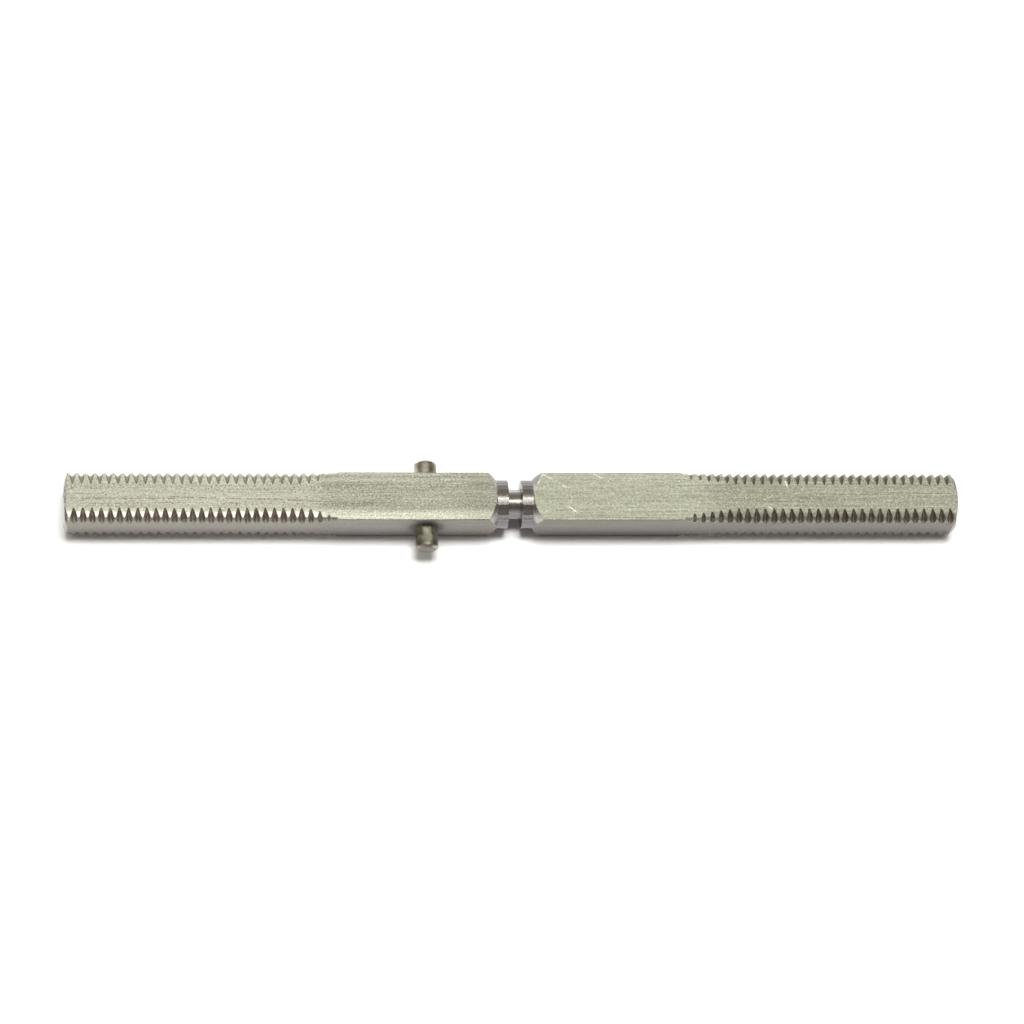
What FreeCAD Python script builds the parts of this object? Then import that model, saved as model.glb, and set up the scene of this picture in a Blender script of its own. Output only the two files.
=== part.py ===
import FreeCAD, Part
import os

import Sketcher

# Swivel spindle for a mortise door lock, in millimetres.
# Two square half spindles meet at a turned swivel joint.  The bar axis runs along X,
# the joint centre sits over the origin and the bottom flats lie on Z = 0.
# The pinned half reaches to -X, the plain half to +X.

# name, value, what it drives
SIZES = [
    ("across_flats", "7.14375", "square bar, flat to flat (9/32 in)"),
    ("half_length", "63.5", "joint centre to free end (2 1/2 in)"),
    ("edge_radius", "0.15", "rounding of the drawn bar's long edges"),
    ("thread_ratio", "1.3333333333", "corner thread diameter over across_flats (3/8 in)"),
    ("thread_pitch", "1.27", "corner thread pitch (20 to the inch)"),
    ("pinned_clean_length", "35.7", "full depth thread on the pinned half, from the free end"),
    ("pinned_runout_turns", "2", "whole turns in which the pinned half's thread fades"),
    ("plain_clean_length", "31.9", "full depth thread on the plain half, from the free end"),
    ("plain_runout_turns", "6", "whole turns in which the plain half's thread fades"),
    ("end_face_radius", "3.35", "flat left inside the free end's bevel"),
    ("end_bevel", "0.5", "length of the free end's bevel at the thread crest"),
    ("joint_gap", "1.9", "collar to collar across the swivel"),
    ("collar_length", "1.5875", "turned collar beside the gap (1/16 in)"),
    ("collar_step", "0.12", "collar surface below the flats"),
    ("cone_length", "1.35", "turned cone from the collar out to the bar's corners"),
    ("neck_diameter", "4.25", "swivel stud, neck and pressed shank"),
    ("running_clearance", "0.08", "radial clearance of every turning fit"),
    ("shank_to_pin", "2.7625", "metal between the shank's end and the stop pin"),
    ("mouth_length", "4.9", "tapped mouth the neck turns in"),
    ("head_lip", "0.618", "stud head standing out from the neck (12-24 thread)"),
    ("head_length", "5.0", "threaded head of the stud"),
    ("head_thread_depth", "0.6", "crest to root of the head's thread"),
    ("head_pitch", "1.0583", "pitch of the head's thread and of the mouth"),
    ("shoulder_play", "0.2", "head to chamber shoulder"),
    ("bottom_play", "0.2", "head end to the start of the chamber's drill point"),
    ("pin_diameter", "3.175", "stop pin (1/8 in)"),
    ("pin_near_projection", "3.28", "stop pin standing out of the -Y flat"),
    ("pin_far_projection", "2.71", "stop pin standing out of the +Y flat"),
    ("pin_bevel", "0.34", "bevel on both ends of the stop pin"),
    ("pin_station", "12.5", "joint centre to the stop pin's axis"),
]

TAN_30 = "0.5773502692"
DRILL_TIP = "0.6008606190"      # tip length over radius for a 118 degree drill
CUT_MARGIN = "0.1"              # how far a cutter starts outside the metal

# Positions along each half, measured outward from the joint centre.
HALF_FLATS = "Sizes.across_flats / 2"
CREST = "Sizes.across_flats * Sizes.thread_ratio / 2"
DEPTH = "(Sizes.thread_pitch * 0.6134)"
ROOT = f"({CREST} - {DEPTH})"
COLLAR_FACE = "Sizes.joint_gap / 2"
COLLAR_END = f"({COLLAR_FACE} + Sizes.collar_length)"
COLLAR_RADIUS = f"({HALF_FLATS} - Sizes.collar_step)"
CORNER = f"({HALF_FLATS} * 1.4142135624)"
OUTSIDE = f"({CORNER} + 1)"
NECK = "Sizes.neck_diameter / 2"
MOUTH = f"({NECK} + Sizes.running_clearance)"
HEAD = f"({NECK} + Sizes.head_lip)"
CHAMBER = f"({HEAD} + Sizes.running_clearance)"
MOUTH_END = f"({COLLAR_FACE} + Sizes.mouth_length)"
HEAD_START = f"({MOUTH_END} + Sizes.shoulder_play)"
HEAD_END = f"({HEAD_START} + Sizes.head_length)"
CHAMBER_END = f"({HEAD_END} + Sizes.bottom_play)"
PIN_RADIUS = "Sizes.pin_diameter / 2"
PIN_NEAR = f"({HALF_FLATS} + Sizes.pin_near_projection)"
PIN_FAR = f"({HALF_FLATS} + Sizes.pin_far_projection)"
SHANK_END = f"(Sizes.pin_station - {PIN_RADIUS} - Sizes.shank_to_pin)"

doc = FreeCAD.newDocument("SwivelSpindle")
sheet = doc.addObject("Spreadsheet::Sheet", "Sizes")
sheet.Label = "Sizes"
for row, (alias, value, note) in enumerate(SIZES, start=1):
    sheet.set(f"A{row}", alias)
    sheet.set(f"B{row}", value)
    sheet.setAlias(f"B{row}", alias)
    sheet.set(f"C{row}", note)
doc.recompute()


def new_body(label, faces_minus_x=False):
    """Add a body whose axis is lifted to the bar's centre height."""
    body = doc.addObject("PartDesign::Body", label)
    body.Label = label
    turn = FreeCAD.Rotation(FreeCAD.Vector(0, 0, 1), 180 if faces_minus_x else 0)
    body.Placement = FreeCAD.Placement(FreeCAD.Vector(0, 0, 0), turn)
    body.setExpression("Placement.Base.z", HALF_FLATS)
    return body


def origin_part(body, role):
    """Find one of the body's own origin planes or axes."""
    return next(item for item in body.Origin.OriginFeatures if item.Role == role)


def new_sketch(body, name, role):
    """Attach an empty sketch to one of the body's origin planes."""
    sketch = body.newObject("Sketcher::SketchObject", name)
    sketch.AttachmentSupport = [(origin_part(body, role), "")]
    sketch.MapMode = "FlatFace"
    return sketch


def outline(body, name, role, corners):
    """Draw a closed outline; every corner is a pair of expressions."""
    sketch = new_sketch(body, name, role)
    points = [
        FreeCAD.Vector(float(body.evalExpression(across)), float(body.evalExpression(up)), 0)
        for across, up in corners
    ]
    count = len(points)
    for index in range(count):
        sketch.addGeometry(Part.LineSegment(points[index], points[(index + 1) % count]), False)
    for index in range(count):
        following = (index + 1) % count
        sketch.addConstraint(Sketcher.Constraint("Coincident", index, 2, following, 1))
    for index, (across, up) in enumerate(corners):
        pin_point(sketch, index, 1, "DistanceX", across, points[index].x)
        pin_point(sketch, index, 1, "DistanceY", up, points[index].y)
    return sketch


def pin_point(sketch, element, vertex, kind, expression, value):
    """Tie one coordinate of a sketch point to an expression."""
    if expression == "0":
        axis = -2 if kind == "DistanceX" else -1
        sketch.addConstraint(Sketcher.Constraint("PointOnObject", element, vertex, axis))
        return
    number = sketch.addConstraint(Sketcher.Constraint(kind, -1, 1, element, vertex, value))
    sketch.setExpression(f"Constraints[{number}]", expression)


def revolve(body, kind, name, sketch):
    """Turn a sketch fully about the bar axis, adding or removing metal."""
    feature = body.newObject(f"PartDesign::{kind}", name)
    feature.Profile = sketch
    feature.ReferenceAxis = (sketch, ["H_Axis"])
    feature.Angle = 360
    sketch.Visibility = False
    doc.recompute()
    return feature


def helix_cut(body, name, sketch, pitch, height, climb=None):
    """Cut a right-hand helical groove outward; with a climb angle it fades toward the joint."""
    cut = body.newObject("PartDesign::SubtractiveHelix", name)
    cut.Profile = sketch
    cut.ReferenceAxis = (sketch, ["H_Axis"])
    cut.Mode = 0
    cut.setExpression("Pitch", pitch)
    cut.setExpression("Height", height)
    cut.LeftHanded = False
    cut.Reversed = climb is not None
    if climb is not None:
        cut.setExpression("Angle", climb)
    sketch.Visibility = False
    doc.recompute()
    return cut


def groove_profile(body, name, station, inner, outer, inner_flat, outer_flat):
    """Draw the section of a thread groove standing above the bar axis."""
    return outline(body, name, "XZ_Plane", [
        (f"{station} - {inner_flat} / 2", inner),
        (f"{station} + {inner_flat} / 2", inner),
        (f"{station} + {outer_flat} / 2", outer),
        (f"{station} - {outer_flat} / 2", outer),
    ])


def square_bar(body):
    """Extrude the square stock outward from the collar face and soften its long edges."""
    square = outline(body, "BarSection", "YZ_Plane", [
        (f"-{HALF_FLATS}", f"-{HALF_FLATS}"),
        (HALF_FLATS, f"-{HALF_FLATS}"),
        (HALF_FLATS, HALF_FLATS),
        (f"-{HALF_FLATS}", HALF_FLATS),
    ])
    bar = body.newObject("PartDesign::Pad", "SquareBar")
    bar.Profile = square
    bar.setExpression("Length", "Sizes.half_length")
    square.Visibility = False
    doc.recompute()
    long_edges = [
        f"Edge{number}" for number, edge in enumerate(bar.Shape.Edges, start=1)
        if abs(edge.Vertexes[0].X - edge.Vertexes[-1].X) > 1
    ]
    soft = body.newObject("PartDesign::Fillet", "LongEdges")
    soft.Base = (bar, long_edges)
    soft.setExpression("Radius", "Sizes.edge_radius")
    doc.recompute()


def turn_joint_end(body):
    """Turn the collar, and the cone that climbs from it to the bar's corners."""
    cone_reach = f"Sizes.cone_length * (1 + 1 / ({CORNER} - {COLLAR_RADIUS}))"
    profile = outline(body, "JointEndCut", "XZ_Plane", [
        (COLLAR_FACE, "0"),
        (COLLAR_FACE, COLLAR_RADIUS),
        (COLLAR_END, COLLAR_RADIUS),
        (f"{COLLAR_END} + {cone_reach}", OUTSIDE),
        ("-1", OUTSIDE),
        ("-1", "0"),
    ])
    revolve(body, "Groove", "JointEnd", profile)


def turn_thread_blank(body, clean, turns):
    """Turn the corners down to the thread's crest and bevel the free end."""
    start = f"(Sizes.half_length - {clean} - Sizes.thread_pitch * {turns})"
    rise = f"({OUTSIDE} - {CREST})"
    profile = outline(body, "ThreadBlankCut", "XZ_Plane", [
        (start, CREST),
        ("Sizes.half_length - Sizes.end_bevel", CREST),
        ("Sizes.half_length", "Sizes.end_face_radius"),
        ("Sizes.half_length + 1", "Sizes.end_face_radius"),
        ("Sizes.half_length + 1", OUTSIDE),
        (f"{start} - 2 * {rise}", OUTSIDE),
    ])
    revolve(body, "Groove", "ThreadBlank", profile)


def cut_corner_thread(body, clean, turns):
    """Cut the corner thread at full depth to the free end, then its run-out turn by turn."""
    root_flat = f"(Sizes.thread_pitch * 7 / 8 - 2 * {DEPTH} * {TAN_30})"
    mouth_flat = f"({root_flat} + 2 * ({DEPTH} + {CUT_MARGIN}) * {TAN_30})"
    station = f"(Sizes.half_length - {clean})"
    section = groove_profile(
        body, "CornerThreadSection", station,
        ROOT, f"({CREST} + {CUT_MARGIN})", root_flat, mouth_flat,
    )
    helix_cut(body, "CornerThread", section, "Sizes.thread_pitch",
              f"{clean} + Sizes.thread_pitch")
    rise = f"(({DEPTH} + 0.03) / {turns})"
    for turn in range(round(float(body.evalExpression(turns)))):
        section = groove_profile(
            body, f"Runout{turn}Section", f"({station} - Sizes.thread_pitch * {turn})",
            f"({ROOT} + {rise} * {turn})", f"({CREST} + {CUT_MARGIN} + {rise} * {turn})",
            root_flat, mouth_flat,
        )
        helix_cut(body, f"Runout{turn}", section, "Sizes.thread_pitch",
                  "Sizes.thread_pitch", f"atan({rise} / Sizes.thread_pitch)")


def half_spindle(body, clean, turns):
    """Shape what both halves share: bar, swivel collar, bevelled and threaded free end."""
    square_bar(body)
    turn_joint_end(body)
    turn_thread_blank(body, clean, turns)
    cut_corner_thread(body, clean, turns)


def bore(body, name, corners):
    """Remove a turned pocket that opens at the joint."""
    revolve(body, "Groove", name, outline(body, f"{name}Cut", "XZ_Plane", corners))


# Pinned half: blind bore for the pressed shank, cross hole for the stop pin.
pinned_half = new_body("pinned_half", faces_minus_x=True)
half_spindle(pinned_half, "Sizes.pinned_clean_length", "Sizes.pinned_runout_turns")
bore(pinned_half, "ShankBore", [
    ("0", "0"),
    ("0", NECK),
    (f"{SHANK_END} + 0.3", NECK),
    (f"{SHANK_END} + 0.3 + {NECK} * {DRILL_TIP}", "0"),
])
cross = new_sketch(pinned_half, "CrossHoleCircle", "XZ_Plane")
cross.addGeometry(Part.Circle(FreeCAD.Vector(12.5, 0, 0), FreeCAD.Vector(0, 0, 1), 1.5875), False)
cross.addConstraint(Sketcher.Constraint("PointOnObject", 0, 3, -1))
number = cross.addConstraint(Sketcher.Constraint("DistanceX", -1, 1, 0, 3, 12.5))
cross.setExpression(f"Constraints[{number}]", "Sizes.pin_station")
number = cross.addConstraint(Sketcher.Constraint("Radius", 0, 1.5875))
cross.setExpression(f"Constraints[{number}]", PIN_RADIUS)
cross_hole = pinned_half.newObject("PartDesign::Pocket", "CrossHole")
cross_hole.Profile = cross
cross_hole.Midplane = True
cross_hole.setExpression("Length", "Sizes.across_flats * 2")
cross.Visibility = False
doc.recompute()

# Plain half: tapped mouth the stud is passed through, then the chamber its head turns in.
plain_half = new_body("plain_half")
half_spindle(plain_half, "Sizes.plain_clean_length", "Sizes.plain_runout_turns")
bore(plain_half, "SwivelChamber", [
    ("0", "0"),
    ("0", MOUTH),
    (MOUTH_END, MOUTH),
    (MOUTH_END, CHAMBER),
    (CHAMBER_END, CHAMBER),
    (f"{CHAMBER_END} + {CHAMBER} * {DRILL_TIP}", "0"),
])
tap_depth = f"({CHAMBER} - {MOUTH})"
tap_flat = "(Sizes.head_pitch / 8)"
tap = groove_profile(
    plain_half, "MouthThreadSection", f"({COLLAR_FACE} - Sizes.head_pitch / 2)",
    f"({MOUTH} - {CUT_MARGIN})", CHAMBER,
    f"({tap_flat} + 2 * ({tap_depth} + {CUT_MARGIN}) * {TAN_30})", tap_flat,
)
helix_cut(plain_half, "MouthThread", tap, "Sizes.head_pitch",
          "Sizes.mouth_length + Sizes.head_pitch")

# Swivel stud: pressed shank, smooth neck and threaded head in one turning.
swivel_stud = new_body("swivel_stud")
stud_profile = outline(swivel_stud, "StudSection", "XZ_Plane", [
    (f"-{SHANK_END}", "0"),
    (f"-{SHANK_END}", f"{NECK} - 0.3"),
    (f"-{SHANK_END} + 0.3", NECK),
    (HEAD_START, NECK),
    (f"{HEAD_START} + Sizes.head_lip * {TAN_30}", HEAD),
    (f"{HEAD_END} - Sizes.head_lip", HEAD),
    (HEAD_END, NECK),
    (HEAD_END, "0"),
])
revolve(swivel_stud, "Revolution", "StudTurning", stud_profile)
head_flat = f"(Sizes.head_pitch * 7 / 8 - 2 * Sizes.head_thread_depth * {TAN_30})"
head_cut = groove_profile(
    swivel_stud, "HeadThreadSection", f"({HEAD_START} - Sizes.head_pitch * 0.4)",
    f"({HEAD} - Sizes.head_thread_depth)", f"({HEAD} + 0.05)",
    head_flat, f"({head_flat} + 2 * (Sizes.head_thread_depth + 0.05) * {TAN_30})",
)
helix_cut(swivel_stud, "HeadThread", head_cut, "Sizes.head_pitch",
          "Sizes.head_length + Sizes.head_pitch")

# Stop pin: a bevelled dowel driven through the pinned half, standing out both sides.
stop_pin = doc.addObject("PartDesign::Body", "stop_pin")
stop_pin.Label = "stop_pin"
stop_pin.setExpression("Placement.Base.x", "-Sizes.pin_station")
stop_pin.setExpression("Placement.Base.z", HALF_FLATS)
pin_profile = outline(stop_pin, "PinSection", "XY_Plane", [
    ("0", f"-{PIN_NEAR}"),
    (f"{PIN_RADIUS} - Sizes.pin_bevel", f"-{PIN_NEAR}"),
    (PIN_RADIUS, f"-{PIN_NEAR} + Sizes.pin_bevel"),
    (PIN_RADIUS, f"{PIN_FAR} - Sizes.pin_bevel"),
    (f"{PIN_RADIUS} - Sizes.pin_bevel", PIN_FAR),
    ("0", PIN_FAR),
])
pin_turning = stop_pin.newObject("PartDesign::Revolution", "PinTurning")
pin_turning.Profile = pin_profile
pin_turning.ReferenceAxis = (pin_profile, ["V_Axis"])
pin_turning.Angle = 360
pin_profile.Visibility = False

doc.recompute()
for item in doc.Objects:
    if "Invalid" in item.State or "Error" in item.State:
        raise RuntimeError(f"{item.Label} did not recompute: {item.State}")

os.makedirs("parts", exist_ok=True)
for body in (pinned_half, plain_half, swivel_stud, stop_pin):
    if body.Shape.isNull() or not body.Shape.isValid():
        raise RuntimeError(f"{body.Label} has no valid shape")
    if len(body.Shape.Solids) != 1:
        raise RuntimeError(f"{body.Label} is {len(body.Shape.Solids)} solids")
    body.Shape.exportStep(f"parts/{body.Label}.step")
    print(f"{body.Label}: {len(body.Shape.Faces)} faces, {body.Shape.Volume:.3f} mm3")
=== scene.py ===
"""Looks for a swivel spindle of a mortise door lock.

Two square half spindles, threaded on their corners, meet at a turned swivel joint.
Every shape is worked out in millimetres in a half's own frame (outward along +x from the
joint centre) and put into the shared frame in metres at the end.
"""

import logging
import math
from dataclasses import dataclass, field
from enum import Enum
from functools import partialmethod
from typing import Dict, List, Optional, Sequence, Tuple

import bmesh
import bpy
import numpy as np
from mathutils import Matrix, Vector


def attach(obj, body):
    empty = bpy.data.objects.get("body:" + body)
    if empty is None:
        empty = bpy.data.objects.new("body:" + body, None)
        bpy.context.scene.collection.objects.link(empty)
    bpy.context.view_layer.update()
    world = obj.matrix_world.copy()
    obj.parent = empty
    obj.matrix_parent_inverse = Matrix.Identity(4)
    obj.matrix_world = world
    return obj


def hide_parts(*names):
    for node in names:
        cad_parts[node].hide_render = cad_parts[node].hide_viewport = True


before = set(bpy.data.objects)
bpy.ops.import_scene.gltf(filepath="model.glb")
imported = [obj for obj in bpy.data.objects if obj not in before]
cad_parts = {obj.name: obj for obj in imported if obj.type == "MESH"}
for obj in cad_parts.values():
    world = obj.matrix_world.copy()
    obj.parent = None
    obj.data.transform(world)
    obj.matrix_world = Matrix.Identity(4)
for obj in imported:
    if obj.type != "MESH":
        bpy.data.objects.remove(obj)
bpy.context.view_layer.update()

LOG = logging.getLogger("door_spindle")
Array = np.ndarray
MM = 0.001
TAN_30 = math.tan(math.radians(30))
NO_LIMIT = 99.0
DEGREES_A_RADIAN = 57.3
WHITE = (1.0, 1.0, 1.0)
# White for bright scratches and for painted highlights on groove lips, glints and the front land.
HIGHLIGHT_AND_SCRATCH_WHITE = (0.96, 0.95, 0.90)
Spot = Tuple[float, float, float]
Colour = Tuple[float, float, float]
Profile = Sequence[Tuple[float, float]]
Socket = bpy.types.NodeSocket


class Side(Enum):
    """Which way a half reaches from the joint."""

    TO_PLUS_X = 1
    TO_MINUS_X = -1


class Wear(Enum):
    """How the top flat of a half is worn."""

    ROLLED_FRONT_EDGE = "rolled_front_edge"
    EVEN = "even"


# ---- meshes


@dataclass
class Shell:
    """A closed surface in millimetres with numbers carried on its points."""

    points: Array
    faces: List[List[int]]
    marks: Dict[str, Array] = field(default_factory=dict)

    def to_object(self, name: str, sharp_degrees: float) -> bpy.types.Object:
        """Put the surface into a mesh object at the origin.

        Args:
            name: Name of the new piece.
            sharp_degrees: Edges that turn by more than this stay crisp.

        Returns:
            The linked object, faces pointing outwards and shaded smooth.
        """
        mesh = bpy.data.meshes.new(name)
        mesh.from_pydata((self.points * MM).tolist(), [], self.faces)
        for mark, values in self.marks.items():
            layer = mesh.attributes.new(mark, "FLOAT", "POINT")
            layer.data.foreach_set("value", values.astype(np.float32))
        work = bmesh.new()
        work.from_mesh(mesh)
        bmesh.ops.recalc_face_normals(work, faces=work.faces)
        work.to_mesh(mesh)
        work.free()
        mesh.shade_smooth()
        mesh.set_sharp_from_angle(angle=math.radians(sharp_degrees))
        mesh.validate()
        piece = bpy.data.objects.new(name, mesh)
        bpy.context.scene.collection.objects.link(piece)
        return piece


def ring_quads(ring_count: int, column_count: int) -> Array:
    """Join neighbouring rings of a closed tube with four-sided faces.

    Args:
        ring_count: Rings along the tube.
        column_count: Points round each ring.

    Returns:
        Array (ring_count - 1, column_count, 4) of point numbers.
    """
    ring, column = np.meshgrid(np.arange(ring_count - 1), np.arange(column_count), indexing="ij")
    start = ring * column_count
    after = (column + 1) % column_count
    return np.stack([start + column, start + after, start + column_count + after,
                     start + column_count + column], axis=-1)


def full_turn(column_count: int) -> Array:
    """Angles in radians of evenly spaced columns round a ring."""
    return np.linspace(0.0, 2 * np.pi, column_count, endpoint=False)


def turned_rings(stations: Array, radii: Array, angles: Array) -> Array:
    """Sweep a profile about the x axis: (x, r) becomes (x, r cos a, r sin a).

    Args:
        stations: Positions along the axis, one a ring or one a point.
        radii: Radii, one a ring or one a point.
        angles: Angles in radians, one a column or one a point.

    Returns:
        Array (rings, columns, 3).
    """
    across, up = radii * np.cos(angles), radii * np.sin(angles)
    return np.stack(np.broadcast_arrays(stations, across, up), axis=-1)


def capped_tube(rings: Array, first_pole: Spot, last_pole: Spot) -> Shell:
    """Close a stack of rings at both ends with a fan of triangles onto one point each.

    Args:
        rings: Array (rings, columns, 3).
        first_pole: Closing point before the first ring.
        last_pole: Closing point after the last ring.

    Returns:
        The closed surface.
    """
    ring_count, column_count, _ = rings.shape
    points = np.vstack([rings.reshape(-1, 3), [first_pole], [last_pole]])
    faces = ring_quads(ring_count, column_count).reshape(-1, 4).tolist()
    column = np.arange(column_count)
    pole = np.full(column_count, ring_count * column_count)
    faces += np.stack([pole, np.roll(column, -1), column], axis=-1).tolist()
    column = column + pole - column_count
    faces += np.stack([column, np.roll(column, -1), pole + 1], axis=-1).tolist()
    return Shell(points, faces)


def blend_steps(knots: Profile, steps: Sequence[int]) -> Tuple[Array, Array]:
    """Walk a straight-sided profile in small steps.

    Args:
        knots: Corners of the profile as (station, radius).
        steps: Number of steps between each pair of corners.

    Returns:
        Stations and radii of every point on the walk, each as one column.
    """
    pairs = [np.linspace(knot, after, count, endpoint=False)
             for knot, after, count in zip(knots, knots[1:], steps)]
    walk = np.vstack(pairs + [np.array([knots[-1]])])
    return walk[:, :1], walk[:, 1:]


def stitch(one: Array, other: Array) -> List[List[int]]:
    """Join two closed loops of as many points with four-sided faces."""
    return np.stack([one, np.roll(one, -1), np.roll(other, -1), other], axis=-1).tolist()


# ---- pieces


@dataclass
class SpindlePiece:
    """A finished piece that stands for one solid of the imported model.

    Edges that turn by more than `crease` degrees stay crisp.
    """

    name: str
    node: str
    body: str
    slot: str
    crease: float

    def shell(self) -> Shell:
        """Work out the closed surface in the shared frame."""
        raise NotImplementedError

    def make(self, finish: "Finish") -> bpy.types.Object:
        """Build and dress the piece, and put it on its body.

        Args:
            finish: What it is dressed in.

        Returns:
            The finished piece.
        """
        piece = self.shell().to_object(self.name, self.crease)
        piece.data.materials.append(finish.material())
        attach(piece, self.body)
        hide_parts(self.node)
        return piece


@dataclass(kw_only=True)
class HalfSpindle(SpindlePiece):
    """One square half with its turned joint end, corner thread and bevelled free end."""

    slot: str = "bar_steel"
    crease: float = 12
    side: Side
    clean_length: float
    runout_turns: int
    bore: Profile
    bore_steps: Sequence[int]
    seed: int
    fade_turns: float = 4.0
    fade_power: float = 1.8
    fade_share: float = 1.04
    fade_all: float = 1.04
    burr: float
    cross_hole_station: Optional[float] = None
    cross_hole_radius: float = 1.592
    across_flats: float = 7.14375
    half_length: float = 63.5
    edge_radius: float = 0.15
    crest_radius: float = 4.7625
    thread_pitch: float = 1.27
    thread_depth: float = 0.779018
    collar_face: float = 0.95
    collar_end: float = 2.5375
    collar_radius: float = 3.451875
    cone_length: float = 1.35
    end_face_radius: float = 3.35
    end_bevel: float = 0.5
    edge_break: float = 0.03
    bottom_reach: float = 26.2
    full_circle_edge: float = 38.9
    mark_radius: float = 4.95
    first_edge: float = 3.6
    sharpening: float = 0.8
    touch: float = 0.02
    widest_edge: float = 39.0
    collar_steps: Sequence[float] = (1.35, 1.75, 2.15, 2.45)
    groove_steps: Sequence[float] = (-0.635, -0.572, -0.5556, -0.5, -0.40, -0.30, -0.20, -0.118, -0.094, 0.0,
                                     0.094, 0.118, 0.20, 0.30, 0.40, 0.5, 0.5556, 0.572)
    flat_steps: Sequence[float] = (0.0, 0.2, 0.4, 0.62, 0.82, 1.0)
    round_steps: Sequence[float] = (1.0, 0.66, 0.33)
    hole_eases: Sequence[float] = (0.5, 0.85, 0.985, 1.0)

    @property
    def flat(self) -> float:
        """Distance from the bar axis to a flat."""
        return self.across_flats / 2

    @property
    def clean_start(self) -> float:
        """Where the full-depth thread begins, from the joint centre."""
        return self.half_length - self.clean_length

    @property
    def blank_start(self) -> float:
        """Where the corners are first turned down to the thread crest."""
        return self.clean_start - self.thread_pitch * self.runout_turns

    @property
    def root_flat(self) -> float:
        """Width of the groove's flat bottom."""
        return self.thread_pitch * 7 / 8 - 2 * self.thread_depth * TAN_30

    def turned_radius(self, x: Array) -> Array:
        """Radius the lathe leaves at x: the least of collar and cone, thread blank and end bevel.

        Args:
            x: Positions outward from the joint centre.

        Returns:
            Radius at each position.
        """
        climb = (self.flat * math.sqrt(2) - self.collar_radius) / self.cone_length
        cone = self.collar_radius + climb * np.maximum(x - self.collar_end, 0)
        blank = self.crest_radius + np.maximum(self.blank_start - x, 0)
        slope = (self.crest_radius - self.end_face_radius) / self.end_bevel
        bevel = self.end_face_radius + slope * np.maximum(self.half_length - x, 0)
        return np.minimum(np.minimum(cone, blank), bevel)

    def groove_radius(self, x: Array, angle: Array) -> Array:
        """Radius of the helical groove at (x, angle).

        The groove centre climbs one pitch a turn; the wall rises by 1 / tan 30 for each
        millimetre beside the flat bottom.  Towards the joint the bottom rises as a power of
        the turns left, with a quick lift out of the metal over the last two thirds of a turn.

        Args:
            x: Positions outward from the joint centre.
            angle: Angles round the bar in degrees, 90 at the top flat.

        Returns:
            Radius of the groove surface, larger than the metal where there is no groove.
        """
        turns = (x - self.clean_start) / self.thread_pitch - (angle - 90) / 360
        beside = (turns + 0.5) % 1.0 - 0.5
        centre = turns - beside + (angle - 90) / 360
        left = centre + self.runout_turns
        slow = self.fade_share * np.clip(1 - left / self.fade_turns, 0, 1) ** self.fade_power
        fast = (self.fade_all - self.fade_share) * np.clip(1 - left / 0.7, 0, 1)
        past = np.maximum(-left, 0)
        fade = self.thread_depth * (slow + fast + past)
        wall = np.maximum(np.abs(beside) * self.thread_pitch - self.root_flat / 2, 0) * math.sqrt(3)
        return self.crest_radius - self.thread_depth + fade + wall

    def metal_radius(self, x: Array, angle: Array) -> Array:
        """Smaller of the turned and the grooved radius at (x, angle)."""
        return np.minimum(self.turned_radius(x), self.groove_radius(x, angle))

    def helix_shift(self, angle: Array) -> Array:
        """How far a ring leans along the bar so that it follows the thread.

        One pitch a turn over the sides and the top; across the bottom flat the ring comes
        back in a straight line, where the surface is plane and the lean can't be seen.

        Args:
            angle: Angles round the bar in degrees, from -90 to 270.

        Returns:
            Shift along x.
        """
        reach = self.bottom_reach
        lean = self.thread_pitch * (angle - 90) / 360
        edge = self.thread_pitch * (180 - reach) / 360
        from_bottom = np.where(angle < 90, angle + 90, angle - 270)
        back = -edge * np.tan(np.radians(from_bottom)) / math.tan(math.radians(reach))
        return np.where(np.abs(from_bottom) < reach, back, lean)

    def ring_stations(self) -> Array:
        """Positions of the rings: close on the cone, on every groove's corners and at the end.

        Returns:
            Increasing positions from the collar's edge to the free end.
        """
        first = self.collar_face
        collar = np.array([first + self.edge_break, first + 0.12, *self.collar_steps, self.collar_end])
        cone_end = self.collar_end + self.cone_length
        cone = self.collar_end + self.cone_length * np.linspace(0.012, 1, 30) ** 1.35
        beyond = np.array([cone_end + 0.04, cone_end + 0.25])
        first_turn = -(self.runout_turns + 2)
        last = self.half_length - 1.1
        turn_count = int((last - self.clean_start) / self.thread_pitch) - first_turn
        turns = first_turn + np.arange(turn_count + 1)
        thread = (self.clean_start + self.thread_pitch * turns[:, None] + np.array(self.groove_steps)).ravel()
        thread = thread[thread < last]
        plain = np.linspace(cone_end + 1.0, thread[0] - 0.4, max(int((thread[0] - cone_end) / 0.8), 4))
        end = np.concatenate([np.arange(self.half_length - 1.06, self.half_length - 0.51, 0.05),
                              self.half_length - np.linspace(0.5, 0.0, 15)])
        return np.unique(np.round(np.concatenate([collar, cone, beyond, plain, thread, end]), 5))

    def lean_weight(self, station: Array) -> Array:
        """How much the rings lean.

        Args:
            station: Positions of the rings.

        Returns:
            1 through the thread, easing to 0 on the plain bar and at the free end.
        """
        rise = np.clip((station - (self.blank_start - 6.5)) / 3.5, 0, 1)
        fall = np.clip((self.half_length - 0.5 - station) / 0.55, 0, 1)
        return rise * rise * (3 - 2 * rise) * fall

    def lip_pull(self, ring_count: int) -> Array:
        """Random burrs and soft spots along the groove mouths, in millimetres.

        Args:
            ring_count: Number of rings.

        Returns:
            Array (rings, 4 corners, 2 sides): a burr outward, a worn edge inward.
        """
        draw = np.random.default_rng(self.seed)
        slow = draw.normal(0, 1, (ring_count // 9 + 2, 4, 2)).repeat(9, axis=0)[:ring_count]
        quick = draw.normal(0, 1, (ring_count, 4, 2))
        return -0.006 + self.burr * np.clip(0.55 * slow + 0.45 * quick - 0.5, -0.4, 1.6)

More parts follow.
